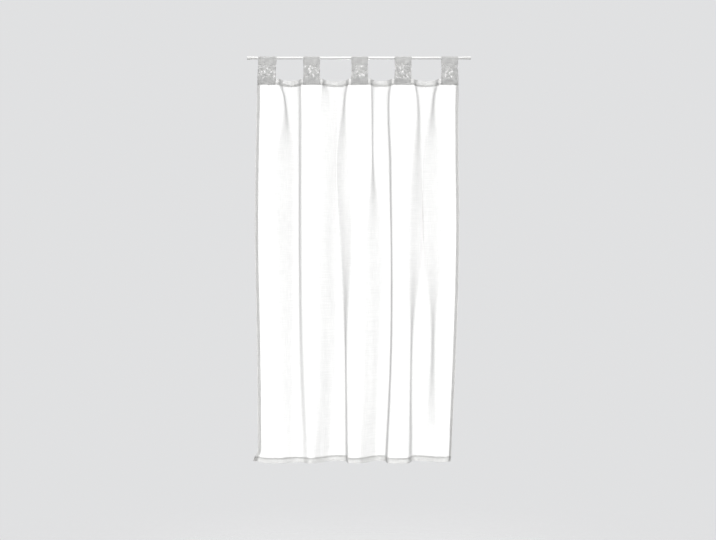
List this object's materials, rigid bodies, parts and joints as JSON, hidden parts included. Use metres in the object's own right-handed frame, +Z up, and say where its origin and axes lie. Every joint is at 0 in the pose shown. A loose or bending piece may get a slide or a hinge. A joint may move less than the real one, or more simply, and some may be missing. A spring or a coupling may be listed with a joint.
{
  "type": "cafe curtain with tension rod",
  "caption": "Short sheer white curtain panel in soft folds, hung by cloth tabs from a thin white tension rod that wedges between two walls.",
  "frame": {"origin": "centre of the rod's left end face, where the rod presses on the left wall", "axes": "+X along the rod to its right end, +Z up, -Y towards the room"},
  "size_m": [0.66, 0.0598, 1.1974],
  "materials": {
    "voile": "sheer plain weave, white",
    "tab_cloth": "doubled plain weave, white",
    "rod_white": "satin white",
    "foot_white": "matt white"
  },
  "bodies": {
    "root": {"curtain_panel": "voile", "tab_1": "tab_cloth", "tab_2": "tab_cloth", "tab_3": "tab_cloth", "tab_4": "tab_cloth", "tab_5": "tab_cloth", "rod": "rod_white", "twist_collar": "foot_white", "end_foot_left": "foot_white", "end_foot_right": "foot_white"}
  },
  "joints": []
}
